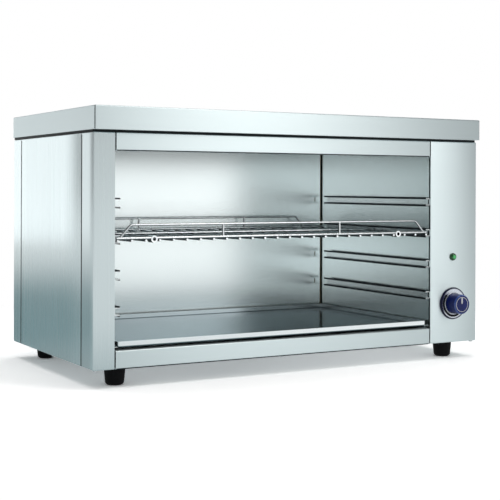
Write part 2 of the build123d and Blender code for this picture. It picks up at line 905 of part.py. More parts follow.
with BuildPart() as control_knob:
    with BuildSketch(knob_section):
        with BuildLine():
            Polyline(
                (0, knob_base),
                (knob_diameter / 2, knob_base),
                (knob_front_diameter / 2, knob_reach - knob_rim),
                (knob_front_diameter / 2 - knob_rim, knob_reach),
                (knob_front_diameter / 2 - 2 * knob_rim, knob_reach - knob_face_recess),
                (0, knob_reach - knob_face_recess),
                close=True,
            )
        make_face()
    revolve(axis=knob_axis)
    # Hollow behind the face, round the hub.
    with BuildSketch(knob_face.offset(knob_base)):
        Circle(knob_front_diameter / 2 - knob_wall)
        Circle(knob_hub / 2, mode=Mode.SUBTRACT)
    extrude(amount=knob_reach - knob_front_wall - knob_base, mode=Mode.SUBTRACT)
    with BuildSketch(knob_face.offset(knob_base)):
        Circle(shaft_diameter / 2 + running_clearance)
        with Locations((0, shaft_flat + running_clearance + shaft_diameter / 2)):
            Rectangle(2 * shaft_diameter, shaft_diameter, mode=Mode.SUBTRACT)
    extrude(amount=bore_end - knob_base, mode=Mode.SUBTRACT)
    # Groove of the pointer.
    with BuildSketch(knob_face.offset(knob_reach - knob_face_recess)):
        with Locations((0, pointer_offset)):
            SlotOverall(pointer_length, pointer_width, rotation=90)
    extrude(amount=-pointer_depth, mode=Mode.SUBTRACT)
save(control_knob, "control_knob")

with BuildPart() as indicator_body:
    with BuildSketch(lamp_section):
        with BuildLine():
            Polyline(
                (0, -sheet - lamp_barrel_length),
                (lamp_barrel / 2, -sheet - lamp_barrel_length),
                (lamp_barrel / 2, 0),
                (lamp_flange / 2, 0),
                (lamp_flange / 2, lamp_flange_height / 2),
                (lamp_flange / 2 - lamp_flange_height / 2, lamp_flange_height),
                (lens_diameter / 2, lamp_flange_height),
                (lens_diameter / 2, lamp_flange_height - lens_seat),
                (0, lamp_flange_height - lens_seat),
                close=True,
            )
        make_face()
    revolve(axis=lamp_axis)
save(indicator_body, "indicator_body")

with BuildPart() as indicator_lens:
    with BuildSketch(lamp_face.offset(lamp_flange_height - lens_seat)):
        Circle(lens_diameter / 2)
    extrude(amount=lens_seat + lens_rise)
    fillet(indicator_lens.faces().sort_by(Axis.Y)[0].edges(), radius=lens_rise)
save(indicator_lens, "indicator_lens")

with BuildPart() as indicator_nut:
    with BuildSketch(Plane(origin=(knob_x, front_y + sheet, lamp_z), x_dir=(1, 0, 0), z_dir=(0, 1, 0))):
        RegularPolygon(lamp_nut / 2, 6)
        Circle(lamp_barrel / 2 + running_clearance, mode=Mode.SUBTRACT)
    extrude(amount=lamp_nut_thickness)
save(indicator_nut, "indicator_nut")

# ---- Supply entry ----

gland_axis = Axis((gland_x, rear_y, gland_z), (0, 1, 0))
# Section of the gland: radius along X, reach out of the back panel along +Y.
gland_section = Plane(origin=(gland_x, rear_y, gland_z), x_dir=(1, 0, 0), z_dir=(0, 0, 1))
gland_tail_end = -sheet - gland_tail

with BuildPart() as cable_gland:
    with BuildSketch(gland_section):
        with BuildLine():
            Polyline(
                (gland_bore / 2, gland_tail_end),
                (gland_thread / 2, gland_tail_end),
                (gland_thread / 2, 0),
                (gland_collar / 2, 0),
                (gland_collar / 2, gland_collar_thickness),
                (gland_dome / 2, gland_collar_thickness),
                (gland_dome / 2, gland_reach * 3 / 4),
                (gland_dome / 2 - gland_reach / 8, gland_reach),
                (gland_bore / 2, gland_reach),
                close=True,
            )
        make_face()
    revolve(axis=gland_axis)
save(cable_gland, "cable_gland")

with BuildPart() as gland_nut:
    with BuildSketch(Plane(origin=(gland_x, rear_y - sheet, gland_z), x_dir=(1, 0, 0), z_dir=(0, -1, 0))):
        RegularPolygon(gland_nut_size / 2, 6)
        Circle(gland_thread / 2 + running_clearance, mode=Mode.SUBTRACT)
    extrude(amount=gland_nut_thickness)
save(gland_nut, "gland_nut")

with BuildPart() as terminal_block:
    block_y = rear_y - block_setback
    block(
        (gland_x - block_width / 2, block_y - block_depth / 2, base_top),
        (gland_x + block_width / 2, block_y + block_depth / 2, base_top + block_height),
    )
    with BuildSketch(Plane.XZ.offset(-(block_y + block_depth / 2))):
        with Locations((gland_x, base_top + block_height / 2)):
            with GridLocations(block_pole_pitch, 0, block_poles, 1):
                Circle(block_pole_bore / 2)
    extrude(amount=block_depth, mode=Mode.SUBTRACT)
save(terminal_block, "terminal_block")

# ---- Internal leads ----

stud_tip = link_x + stud_length + seat_gap
pole_z = base_top + block_height / 2
pole_entry = block_y
regulator_back = front_y + sheet + regulator_depth + seat_gap
lamp_back = front_y + sheet + lamp_barrel_length + seat_gap
live_x = gland_x - block_pole_pitch
heat_x = gland_x + block_pole_pitch
lead_front = regulator_back + lead_offset

lead_routes = [
    # Supply to the regulator.
    [
        (live_x, pole_entry, pole_z),
        (live_x, lead_front + lead_offset, pole_z),
        (live_x, lead_front + lead_offset, knob_z - lead_drop),
        (live_x, regulator_back, knob_z - lead_drop),
    ],
    # Regulator to the first element.
    [
        (heat_x, regulator_back, knob_z + lead_drop),
        (heat_x, lead_front, knob_z + lead_drop),
        (heat_x, element_legs[0], element_z),
        (stud_tip, element_legs[0], element_z),
    ],
    # Last element back to the supply.
    [
        (stud_tip, element_legs[-1], element_z),
        (heat_x, element_legs[-1], element_z),
        (heat_x, pole_entry - block_depth, pole_z),
        (heat_x, pole_entry, pole_z),
    ],
    # Regulator to the lamp.
    [
        (knob_x - lead_diameter, regulator_back, knob_z + lead_drop),
        (knob_x - lead_diameter, lead_front, knob_z + lead_drop),
        (knob_x - lead_diameter, lead_front, lamp_z),
        (knob_x - lead_diameter, lamp_back, lamp_z),
    ],
    # Lamp back to the supply.
    [
        (knob_x + lead_diameter / 2, lamp_back, lamp_z),
        (knob_x + lead_diameter / 2, lead_front + lead_offset, lamp_z),
        (knob_x + lead_diameter / 2, lead_front + lead_offset, pole_z),
        (knob_x + lead_diameter / 2, pole_entry, pole_z),
    ],
]

with BuildPart() as internal_leads:
    for route in lead_routes:
        with BuildLine() as lead:
            FilletPolyline(*route, radius=lead_bend)
        with BuildSketch(Plane(origin=lead.line @ 0, z_dir=lead.line % 0)):
            Circle(lead_diameter / 2)
        sweep(path=lead.line)
save(internal_leads, "internal_leads")

# ---- Feet ----

foot_top = base_bottom
screw_head_z = foot_counterbore_depth - foot_screw_head_height

for corner, (x, y) in foot_spots.items():
    with BuildPart() as foot:
        with BuildSketch(Plane(origin=(x, y, 0), x_dir=(1, 0, 0), z_dir=(0, -1, 0))) as foot_section:
            with BuildLine():
                Polyline(
                    (foot_screw / 2 + hole_clearance, foot_counterbore_depth),
                    (foot_counterbore / 2, foot_counterbore_depth),
                    (foot_counterbore / 2, 0),
                    (foot_bottom_diameter / 2, 0),
                    (foot_top_diameter / 2, foot_top),
                    (foot_screw / 2 + hole_clearance, foot_top),
                    close=True,
                )
            make_face()
            fillet(foot_section.vertices().group_by(Axis.Y)[0].sort_by(Axis.X)[-1], radius=foot_edge)
        revolve(axis=Axis((x, y, 0), (0, 0, 1)))
    save(foot, f"foot_{corner}")

with BuildPart() as foot_screws:
    with BuildSketch(Plane.XY.offset(screw_head_z)):
        with Locations(*foot_spots.values()):
            Circle(foot_screw_head / 2)
    extrude(amount=foot_screw_head_height)
    with BuildSketch(Plane.XY.offset(foot_counterbore_depth)):
        with Locations(*foot_spots.values()):
            Circle(foot_screw / 2)
    extrude(amount=base_top + foot_nut_thickness + sheet - foot_counterbore_depth)
save(foot_screws, "foot_screws")

with BuildPart() as foot_nuts:
    with BuildSketch(Plane.XY.offset(base_top)):
        with Locations(*foot_spots.values()):
            RegularPolygon(foot_nut_size / 2, 6)
            Circle(foot_screw / 2 + running_clearance, mode=Mode.SUBTRACT)
    extrude(amount=foot_nut_thickness)
save(foot_nuts, "foot_nuts")
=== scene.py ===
import math

import bmesh
import bpy
from mathutils import Matrix, Vector


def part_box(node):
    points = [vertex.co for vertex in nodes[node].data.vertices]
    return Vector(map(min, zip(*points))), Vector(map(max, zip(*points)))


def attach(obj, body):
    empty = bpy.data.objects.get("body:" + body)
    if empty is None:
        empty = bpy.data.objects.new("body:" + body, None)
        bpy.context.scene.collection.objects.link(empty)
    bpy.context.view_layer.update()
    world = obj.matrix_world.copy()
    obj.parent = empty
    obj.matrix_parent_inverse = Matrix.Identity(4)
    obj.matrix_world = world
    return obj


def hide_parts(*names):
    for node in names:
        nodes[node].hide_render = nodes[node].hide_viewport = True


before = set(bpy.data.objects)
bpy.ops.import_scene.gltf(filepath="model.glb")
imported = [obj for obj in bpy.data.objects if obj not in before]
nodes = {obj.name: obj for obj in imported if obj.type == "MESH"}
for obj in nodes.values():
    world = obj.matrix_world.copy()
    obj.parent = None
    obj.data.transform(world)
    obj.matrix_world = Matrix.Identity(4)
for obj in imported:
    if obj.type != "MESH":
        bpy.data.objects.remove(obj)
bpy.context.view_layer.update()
scene = bpy.context.scene
scene.view_settings.view_transform = "Standard"

# Looks of the cheese melter and a plain studio. Metres and degrees, unless a name says otherwise.

MM = 0.001
FRONT_Y = -0.201  # outer face of the front sheets
SIDE_X = 0.3985  # outer face of the side sheets, from the middle
knob_low, knob_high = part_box("control_knob")
knob_centre = (knob_low + knob_high) / 2
lens_low, lens_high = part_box("indicator_lens")
lens_centre = (lens_low + lens_high) / 2


# ---- Camera: a level view from the front left, with the horizon above the picture's centre ----

CAMERA_PLACE = (-1.0858, -1.9267, 0.3295)
CAMERA_YAW = 29.51
CAMERA_ROLL = 0.21
FOCAL_PIXELS = 1143.6
HORIZON_ROW = 186.5
FRAME_PIXELS = 500
SENSOR_MM = 36.0

camera_data = bpy.data.cameras.new("camera")
camera_data.sensor_width = SENSOR_MM
camera_data.lens = FOCAL_PIXELS * SENSOR_MM / FRAME_PIXELS
camera_data.shift_y = (HORIZON_ROW - FRAME_PIXELS / 2) / FRAME_PIXELS
camera_data.clip_start = 0.05
camera_data.clip_end = 60.0
camera = bpy.data.objects.new("camera", camera_data)
scene.collection.objects.link(camera)
camera.matrix_world = (
    Matrix.Translation(CAMERA_PLACE)
    @ Matrix.Rotation(math.radians(-CAMERA_YAW), 4, "Z")
    @ Matrix.Rotation(math.radians(90), 4, "X")
    @ Matrix.Rotation(math.radians(CAMERA_ROLL), 4, "Z")
)
scene.camera = camera


# ---- Material kit ----

class Graph:
    """A node tree that is built up from small named steps."""

    def __init__(self, tree):
        self.tree = tree
        tree.nodes.clear()

    def node(self, kind, **settings):
        made = self.tree.nodes.new(kind)
        for key, value in settings.items():
            setattr(made, key, value)
        return made

    def link(self, source, target):
        self.tree.links.new(source, target)

    def place(self, scale=None):
        """Object coordinates, stretched by scale."""
        place = self.node("ShaderNodeTexCoord").outputs["Object"]
        if scale is None:
            return place
        mapping = self.node("ShaderNodeMapping")
        mapping.inputs["Scale"].default_value = scale
        self.link(place, mapping.inputs["Vector"])
        return mapping.outputs["Vector"]

    def parts(self, vector):
        """X, Y and Z of a vector, by name."""
        split = self.node("ShaderNodeSeparateXYZ")
        self.link(vector, split.inputs["Vector"])
        return split.outputs

    def normal(self):
        return self.node("ShaderNodeNewGeometry").outputs["Normal"]

    def noise(self, scale, detail=4.0, roughness=0.55):
        texture = self.node("ShaderNodeTexNoise")
        texture.inputs["Scale"].default_value = 1.0
        texture.inputs["Detail"].default_value = detail
        texture.inputs["Roughness"].default_value = roughness
        self.link(self.place(scale), texture.inputs["Vector"])
        return texture.outputs["Fac"]

    def span(self, source, low, high, start=0.3, end=0.7, kind="LINEAR"):
        """source, from start to end, turned into a number from low to high."""
        ranged = self.node("ShaderNodeMapRange", interpolation_type=kind)
        for key, value in (("From Min", start), ("From Max", end), ("To Min", low), ("To Max", high)):
            ranged.inputs[key].default_value = value
        self.link(source, ranged.inputs["Value"])
        return ranged.outputs["Result"]

    def math(self, operation, first, second=0.0):
        step = self.node("ShaderNodeMath", operation=operation)
        for socket, value in zip(step.inputs, (first, second)):
            if isinstance(value, (int, float)):
                socket.default_value = value
            else:
                self.link(value, socket)
        return step.outputs["Value"]

    def vector(self, operation, first, second=None):
        """A step of vector arithmetic on sockets and fixed vectors."""
        step = self.node("ShaderNodeVectorMath", operation=operation)
        for socket, value in zip(step.inputs, (first, second)):
            if isinstance(value, tuple):
                socket.default_value = value
            elif value is not None:
                self.link(value, socket)
        return step.outputs["Value" if operation in ("LENGTH", "DISTANCE") else "Vector"]

    def blend(self, factor, first, second):
        """Colour between two colours."""
        mix = self.node("ShaderNodeMix", data_type="RGBA")
        self.link(factor, mix.inputs["Factor"])
        for socket, colour in zip((mix.inputs[6], mix.inputs[7]), (first, second)):
            if isinstance(colour, tuple):
                socket.default_value = (*colour, 1.0)
            else:
                self.link(colour, socket)
        return mix.outputs[2]

    def shown(self):
        """1 for rays that show the backdrop to the camera, in metal or through glass."""
        path = self.node("ShaderNodeLightPath")
        seen = self.math("MAXIMUM", path.outputs["Is Camera Ray"], path.outputs["Is Glossy Ray"])
        return self.math("MAXIMUM", seen, path.outputs["Is Transmission Ray"])


class Shader(Graph):
    """A material with one Principled shader."""

    def __init__(self, name):
        self.material = bpy.data.materials.new(name)
        self.material.use_nodes = True
        super().__init__(self.material.node_tree)
        self.bsdf = self.node("ShaderNodeBsdfPrincipled")
        self.output = self.node("ShaderNodeOutputMaterial")
        self.link(self.bsdf.outputs["BSDF"], self.output.inputs["Surface"])

    def set(self, **sockets):
        for key, value in sockets.items():
            self.bsdf.inputs[key.replace("_", " ")].default_value = value

    def bump(self, height, strength, distance):
        bump = self.node("ShaderNodeBump")
        bump.inputs["Strength"].default_value = strength
        bump.inputs["Distance"].default_value = distance
        self.link(height, bump.inputs["Height"])
        self.link(bump.outputs["Normal"], self.bsdf.inputs["Normal"])
        return bump

    def colour(self, source):
        self.link(source, self.bsdf.inputs["Base Color"])

    def rough(self, source):
        self.link(source, self.bsdf.inputs["Roughness"])

    def from_axis(self, centre):
        """Distance from an axis along Y through centre."""
        reach = self.vector("SUBTRACT", self.place(), (centre.x, 0.0, centre.z))
        return self.vector("LENGTH", self.vector("MULTIPLY", reach, (1.0, 0.0, 1.0)))


GRAIN_STRETCH = 0.9  # how far brushing spreads reflections across the grain
GRAIN_SPREAD = 0.04  # change of roughness from streak to streak
GRAIN_SCALE = {"x": (2.5, 1400.0, 1400.0), "z": (1400.0, 1400.0, 2.5)}
GRAIN_LINE = {"x": (1.0, 0.0, 0.05), "z": (0.05, 0.0, 1.0)}


def brushed_steel(name, light, dark, roughness, grain, bow=None, rolls=()):
    """Satin stainless sheet, brushed along the axis named by grain.

    bow is (from X, to X, amount at each) where a front is sprung out of true, and each roll
    (from Y, to Y, amount) is an edge of a side that rolls away.
    """
    shader = Shader(name)
    shader.set(Metallic=1.0, Anisotropic=GRAIN_STRETCH)
    streaks = shader.noise(GRAIN_SCALE[grain], detail=6.0, roughness=0.6)
    clouds = shader.noise((3.0, 3.0, 3.0), detail=2.0)
    tone = shader.math("ADD", shader.span(streaks, 0.0, 0.45), shader.span(clouds, 0.0, 0.55))
    shader.colour(shader.blend(tone, dark, light))
    shader.rough(shader.span(streaks, roughness - GRAIN_SPREAD, roughness + GRAIN_SPREAD))
    relief = shader.bump(streaks, 0.06, 0.00003)
    if bow or rolls:
        tilt = shader.node("ShaderNodeCombineXYZ")
        along = shader.parts(shader.place())
        if bow:
            start, end, first, last = bow
            shader.link(shader.span(along["X"], first, last, start, end), tilt.inputs["X"])
        total = 0.0
        for start, end, amount in rolls:
            roll = shader.span(along["Y"], 0.0, amount, start, end, "SMOOTHSTEP")
            total = shader.math("ADD", total, roll)
        if rolls:
            shader.link(total, tilt.inputs["Y"])
        sprung = shader.vector("ADD", shader.normal(), tilt.outputs["Vector"])
        shader.link(shader.vector("NORMALIZE", sprung), relief.inputs["Normal"])
    # Reflections spread across the grain, so the tangent is square to it and to the surface.
    tangent = shader.vector("CROSS_PRODUCT", shader.normal(), GRAIN_LINE[grain])
    shader.link(tangent, shader.bsdf.inputs["Tangent"])
    return shader.material


def sheet_metal(name, light, dark, roughness, floor=None, floor_level=0.0, glance=(1.0, 1.0, 1.0)):
    """Smooth bright sheet with faint mill streaks. Below floor_level its colour is floor."""
    shader = Shader(name)
    shader.set(Metallic=1.0, Specular_Tint=(*glance, 1.0))
    streaks = shader.noise((4.0, 900.0, 900.0), detail=5.0)
    clouds = shader.noise((2.5, 2.5, 2.5), detail=1.0)
    tone = shader.math("ADD", shader.span(streaks, 0.0, 0.4), shader.span(clouds, 0.0, 0.6))
    colour = shader.blend(tone, dark, light)
    if floor:
        height = shader.parts(shader.place())["Z"]
        low_part = shader.span(height, 1.0, 0.0, floor_level - 0.4 * MM, floor_level + 0.6 * MM)
        colour = shader.blend(low_part, colour, floor)
    shader.colour(colour)
    shader.rough(shader.span(clouds, roughness - 0.01, roughness + 0.02))
    shader.bump(streaks, 0.05, 0.00002)
    return shader.material


def bright_wire(name, top, shade_tone):
    """Plated wire with slight ripples in its plating, and painted shade underneath and on the sides of the
    wires.
    """
    shader = Shader(name)
    shader.set(Metallic=1.0)
    ripples = shader.noise((160.0, 160.0, 160.0), detail=3.0)
    facing = shader.parts(shader.normal())
    plating = shader.blend(shader.span(ripples, 0.0, 1.0), tuple(0.8 * c for c in top), top)
    below = shader.span(facing["Z"], 1.0, 0.0, -0.75, -0.05)
    between = shader.span(shader.math("ABSOLUTE", facing["X"]), 0.0, 0.85, 0.45, 0.85)
    # Painted shade: the wire turns to the shade tone on its undersides and on its sides.
    shader.colour(shader.blend(shader.math("MAXIMUM", below, between), plating, shade_tone))
    shader.rough(shader.span(ripples, 0.20, 0.28))
    shader.bump(ripples, 0.15, 0.0001)
    return shader.material


def plated_steel(name, light, dark, roughness):
    """Zinc plating, mottled and slightly dull."""
    shader = Shader(name)
    shader.set(Metallic=1.0)
    mottle = shader.noise((420.0, 420.0, 420.0), detail=5.0)
    shader.colour(shader.blend(shader.span(mottle, 0.0, 1.0), dark, light))
    shader.rough(shader.span(mottle, roughness - 0.07, roughness + 0.1))
    shader.bump(mottle, 0.1, 0.00005)
    return shader.material


def moulded(name, light, dark, roughness, grain_scale=900.0, relief=0.12, coat=0.0, shine=0.5):
    """Moulded plastic, rubber or ceramic with a fine grain and slight tone changes."""
    shader = Shader(name)
    shader.set(Coat_Weight=coat, Coat_Roughness=0.12, Specular_IOR_Level=shine)
    grain = shader.noise((grain_scale,) * 3, detail=4.0)
    clouds = shader.noise((60.0, 60.0, 60.0), detail=3.0)
    shader.colour(shader.blend(shader.span(clouds, 0.0, 1.0), dark, light))
    shader.rough(shader.span(grain, roughness - 0.06, roughness + 0.08))
    shader.bump(grain, relief, 0.00006)
    return shader.material


def fibrous(name, light, dark):
    """Mineral wool: matted fibres."""
    shader = Shader(name)
    shader.set(Sheen_Weight=0.3)
    fibres = shader.noise((260.0, 40.0, 260.0), detail=8.0, roughness=0.75)
    shader.colour(shader.blend(shader.span(fibres, 0.0, 1.0), dark, light))
    shader.rough(shader.span(fibres, 0.85, 1.0))
    shader.bump(fibres, 0.6, 0.002)
    return shader.material


def turned_metal(name, centre, light, dark):
    """Turned metal with fine rings about an axis along Y through centre."""
    shader = Shader(name)
    shader.set(Metallic=1.0)
    rings = shader.node("ShaderNodeTexNoise", noise_dimensions="1D")
    rings.inputs["Scale"].default_value = 1.0
    rings.inputs["Detail"].default_value = 5.0
    shader.link(shader.math("MULTIPLY", shader.from_axis(centre), 2600.0), rings.inputs["W"])
    shader.colour(shader.blend(shader.span(rings.outputs["Fac"], 0.0, 1.0), dark, light))
    shader.rough(shader.span(rings.outputs["Fac"], 0.18, 0.34))
    shader.bump(rings.outputs["Fac"], 0.25, 0.00005)
    return shader.material


def lamp_plastic(name, centre, radius, middle, rim, glow):
    """Translucent lens of that radius, lit in the middle, round an axis along Y through centre."""
    shader = Shader(name)
    shader.set(Roughness=0.16, IOR=1.49, Transmission_Weight=0.1, Coat_Weight=0.3)
    facets = shader.node("ShaderNodeTexVoronoi")
    facets.inputs["Scale"].default_value = 900.0
    shader.link(shader.place(), facets.inputs["Vector"])
    away = shader.from_axis(centre)
    lit = shader.span(away, 1.0, 0.0, 0.25 * radius, 0.85 * radius, "SMOOTHSTEP")
    tone = shader.blend(lit, rim, middle)
    shader.colour(tone)
    shader.link(tone, shader.bsdf.inputs["Emission Color"])
    shader.link(shader.math("MULTIPLY", lit, glow), shader.bsdf.inputs["Emission Strength"])
    shader.bump(facets.outputs["Distance"], 0.15, 0.0002)
    return shader.material


# ---- Materials: light tone, dark tone, roughness ----

STEEL = ((0.618, 0.704, 0.718), (0.583, 0.666, 0.680))
FASCIA_BOW = (0.287, 0.398, -0.085, 0.005)
POST_ROLL = (-0.178, -0.200, -0.25)
PANEL_FRONT_ROLL = (-0.06, -0.149, -0.18)
PANEL_REAR_ROLL = (0.125, 0.163, 0.10)
TRAY_FLOOR = (0.145, 0.205, 0.225)
TRAY_FLOOR_LEVEL = 0.0678
TRAY_GLANCE = (0.56, 0.62, 0.65)

front_steel = brushed_steel("front_steel", *STEEL, 0.35, "x")
fascia_steel = brushed_steel("fascia_steel", *STEEL, 0.33, "x", bow=FASCIA_BOW)
post_steel = brushed_steel("post_steel", *STEEL, 0.30, "z", rolls=(POST_ROLL,))
side_steel = brushed_steel("side_steel", *STEEL, 0.26, "z", rolls=(PANEL_FRONT_ROLL, PANEL_REAR_ROLL))
liner_steel = sheet_metal("liner_steel", (0.87, 0.95, 0.957), (0.85, 0.93, 0.937), 0.25)
runner_steel = sheet_metal("runner_steel", (0.74, 0.79, 0.80), (0.68, 0.73, 0.74), 0.22)
tray_steel = sheet_metal(
    "tray_steel", (0.82, 0.87, 0.88), (0.76, 0.81, 0.82), 0.15,
    floor=TRAY_FLOOR, floor_level=TRAY_FLOOR_LEVEL, glance=TRAY_GLANCE,
)
# Black of the joints, also used as painted shade in the gap under the cap and beside the joints.
seam_and_shade_black = moulded(
    "seam_and_shade_black", (0.012, 0.016, 0.018), (0.006, 0.008, 0.009), 0.6, relief=0.2, shine=0.2,
)
shadow_steel = plated_steel("shadow_steel", (0.035, 0.046, 0.052), (0.018, 0.024, 0.028), 0.4)
dial_black = moulded(
    "dial_black", (0.006, 0.007, 0.010), (0.003, 0.003, 0.005), 0.55, relief=0.08, shine=0.15,
)
dial_navy = moulded(
    "dial_navy", (0.008, 0.009, 0.050), (0.005, 0.005, 0.030), 0.3, relief=0.05, shine=0.3,
)
rim_blue = moulded("rim_blue", (0.04, 0.095, 0.36), (0.03, 0.07, 0.28), 0.25, relief=0.05, coat=0.4)
pointer_white = moulded("pointer_white", (0.82, 0.84, 0.87), (0.74, 0.76, 0.80), 0.4, relief=0.05)
wire = bright_wire("wire", (0.90, 0.95, 0.97), (0.03, 0.045, 0.052))
zinc = plated_steel("zinc", (0.72, 0.74, 0.75), (0.58, 0.60, 0.61), 0.38)
brass = plated_steel("brass", (0.80, 0.62, 0.30), (0.66, 0.49, 0.22), 0.30)
sheath = moulded("sheath", (0.11, 0.10, 0.09), (0.06, 0.055, 0.05), 0.55, relief=0.3)
ceramic = moulded("ceramic", (0.86, 0.83, 0.76), (0.78, 0.75, 0.68), 0.6)
wool = fibrous("wool", (0.66, 0.58, 0.36), (0.42, 0.36, 0.20))
rubber = moulded(
    "rubber", (0.008, 0.008, 0.009), (0.004, 0.004, 0.005), 0.7,
    grain_scale=700.0, relief=0.35, shine=0.12,
)
nylon = moulded("nylon", (0.035, 0.035, 0.038), (0.02, 0.02, 0.022), 0.42)
thermoset = moulded("thermoset", (0.10, 0.095, 0.09), (0.06, 0.056, 0.052), 0.5)
silicone = moulded("silicone", (0.50, 0.10, 0.07), (0.38, 0.07, 0.05), 0.5)
navy = moulded("navy", (0.004, 0.016, 0.165), (0.002, 0.008, 0.095), 0.30, relief=0.06, shine=0.3)
lamp_green = moulded("lamp_green", (0.010, 0.085, 0.035), (0.006, 0.05, 0.02), 0.25, coat=0.4)
lens_green = lamp_plastic(
    "lens_green", lens_centre, radius=6.6 * MM, middle=(0.05, 0.40, 0.11), rim=(0.004, 0.07, 0.014), glow=0.5,
)
dial_metal = turned_metal("dial_metal", knob_centre, (0.74, 0.77, 0.82), (0.50, 0.54, 0.60))

finishes = {
    front_steel: ["top_cover", "header_panel", "bottom_rail"],
    fascia_steel: ["control_fascia"],
    post_steel: ["front_left_post"],
    side_steel: ["left_side_panel", "right_side_panel", "back_panel"],
    liner_steel: ["chamber_left_wall", "chamber_right_wall", "chamber_back_wall", "ceiling_reflector"],
    runner_steel: [n for n in nodes if "_runner_" in n or n.endswith("_tray_ledge")],
    tray_steel: ["crumb_tray"],
    wire: ["rack_grid", "rack_front_guard", "rack_rear_guard"],
    zinc: [
        "base_plate", "base_screws", "cap_screws", "cap_spacers", "element_bracket_left",
        "element_bracket_right", "regulator_screws", "foot_screws", "foot_nuts", "indicator_nut",
    ],
    brass: ["regulator_shaft", "element_studs", "element_links"],
    sheath: [n for n in nodes if n.startswith("heating_element")],
    ceramic: ["element_bushes", "terminal_block"],
    wool: [n for n in nodes if n.startswith("insulation")],
    rubber: ["foot_front_left", "foot_front_right", "foot_rear_left", "foot_rear_right"],
    nylon: ["cable_gland", "gland_nut"],
    thermoset: ["regulator_body"],
    silicone: ["internal_leads"],
    navy: ["control_knob"],
    lamp_green: ["indicator_body"],
    lens_green: ["indicator_lens"],
    dial_metal: ["dial_ring"],
}
for material, names in finishes.items():
    for name in names:
        nodes[name].data.materials.clear()
        nodes[name].data.materials.append(material)


# ---- Detail pieces ----

SHARP_EDGE = 40.0
LINE_RISE = 0.2 * MM  # how far dark lines stand off the sheet


def loft(name, sections, material, body, closed=False):
    """A skin through sections, each a ring of points, which rides on body."""
    shape = bmesh.new()
    rings = [[shape.verts.new(point) for point in section] for section in sections]
    following = rings[1:] + rings[:1] if closed else rings[1:]
    for one, other in zip(rings, following):
        for k in range(len(one)):
            after = (k + 1) % len(one)
            shape.faces.new((one[k], one[after], other[after], other[k]))
    if not closed:
        shape.faces.new(rings[0])
        shape.faces.new(rings[-1])
    bmesh.ops.recalc_face_normals(shape, faces=shape.faces)
    mesh = bpy.data.meshes.new(name)
    shape.to_mesh(mesh)
    shape.free()
    mesh.materials.append(material)
    mesh.shade_smooth()
    mesh.set_sharp_from_angle(angle=math.radians(SHARP_EDGE))
    piece = bpy.data.objects.new(name, mesh)
    scene.collection.objects.link(piece)
    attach(piece, body)
    return piece


def soft_corners(width, depth, radius, steps=4):
    """Points round a rectangle from (0, 0) to (width, depth), with rounded corners."""
    points = []
    for x, y, turn in ((width, depth, 0), (0, depth, 90), (0, 0, 180), (width, 0, 270)):
        mid_x = x - radius if x else radius
        mid_y = y - radius if y else radius
        for step in range(steps + 1):
            angle = math.radians(turn + 90 * step / steps)
            points.append((mid_x + radius * math.cos(angle), mid_y + radius * math.sin(angle)))
    return points


def bead(name, start, end, across, out, width, rise, material, slot="stainless", steps=8):
    """A low rounded strip along start to end, width wide along across and standing rise proud along out."""
    section = []
    for step in range(steps + 1):
        angle = math.pi * step / steps
        section.append((math.cos(angle) * width / 2, math.sin(angle) * rise))
    section += [(-width / 2, -rise), (width / 2, -rise)]
    across, out = Vector(across), Vector(out)
    sections = [[Vector(place) + across * a + out * b for a, b in section] for place in (start, end)]
    return loft(name, sections, material, "cabinet")


def turned(name, profile, material, centre=knob_centre, body="cabinet", start=0.0, sweep=360.0, steps=96):
    """profile, in millimetres from the axis and from the front sheet, turned about an axis along Y."""
    whole = sweep == 360.0
    sections = []
    for step in range(steps if whole else steps + 1):
        angle = math.radians(start + sweep * step / steps)
        sections.append([
            (centre.x + r * MM * math.cos(angle), FRONT_Y - reach * MM, centre.z + r * MM * math.sin(angle))
            for r, reach in profile
        ])
    return loft(name, sections, material, body, closed=whole)


# A strip, black as painted shade for the shadow in the gap, closes the gap under the cap: just inside the side
# and rear sheets, set back from the front ones.
SEAL_LOW = Vector((-0.3982, -0.1975, 0.4172))
SEAL_HIGH = Vector((0.3982, 0.2072, 0.4210))
SEAL_WALL = 2.0 * MM
SEAL_CORNERS = (1.5 * MM, 0.8 * MM)  # radius outside and inside
seal_width, seal_depth = SEAL_HIGH.x - SEAL_LOW.x, SEAL_HIGH.y - SEAL_LOW.y
outer_line = soft_corners(seal_width, seal_depth, SEAL_CORNERS[0])
inner_line = soft_corners(seal_width - 2 * SEAL_WALL, seal_depth - 2 * SEAL_WALL, SEAL_CORNERS[1])
seal_sections = []
for (outer_x, outer_y), (inner_x, inner_y) in zip(outer_line, inner_line):
    outer = (SEAL_LOW.x + outer_x, SEAL_LOW.y + outer_y)
    inner = (SEAL_LOW.x + SEAL_WALL + inner_x, SEAL_LOW.y + SEAL_WALL + inner_y)
    seal_sections.append([
        (*outer, SEAL_LOW.z), (*outer, SEAL_HIGH.z), (*inner, SEAL_HIGH.z), (*inner, SEAL_LOW.z),
    ])
loft("cap_seal_and_shade", seal_sections, seam_and_shade_black, "cabinet", closed=True)

# Joint strips between the side panels and the sheets folded round the corners, black and wider than the joints
# as painted shade beside them.
JOINT_GAP = 0.4 * MM
JOINT_ENDS = (1.5 * MM, 2.5 * MM)
JOINT_RISE = 0.25 * MM
panel_low, panel_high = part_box("left_side_panel")
joints = (("front", panel_low.y - JOINT_GAP, 4.4 * MM), ("rear", panel_high.y + JOINT_GAP, 3.8 * MM))
for side, sign in (("left", -1), ("right", 1)):
    for end, y, width in joints:
        bead(
            f"joint_and_shade_strip_{side}_{end}",
            (sign * SIDE_X, y, panel_low.z + JOINT_ENDS[0]),
            (sign * SIDE_X, y, panel_high.z - JOINT_ENDS[1]),
            (0, 1, 0), (sign, 0, 0), width, JOINT_RISE, seam_and_shade_black, "nylon",
        )
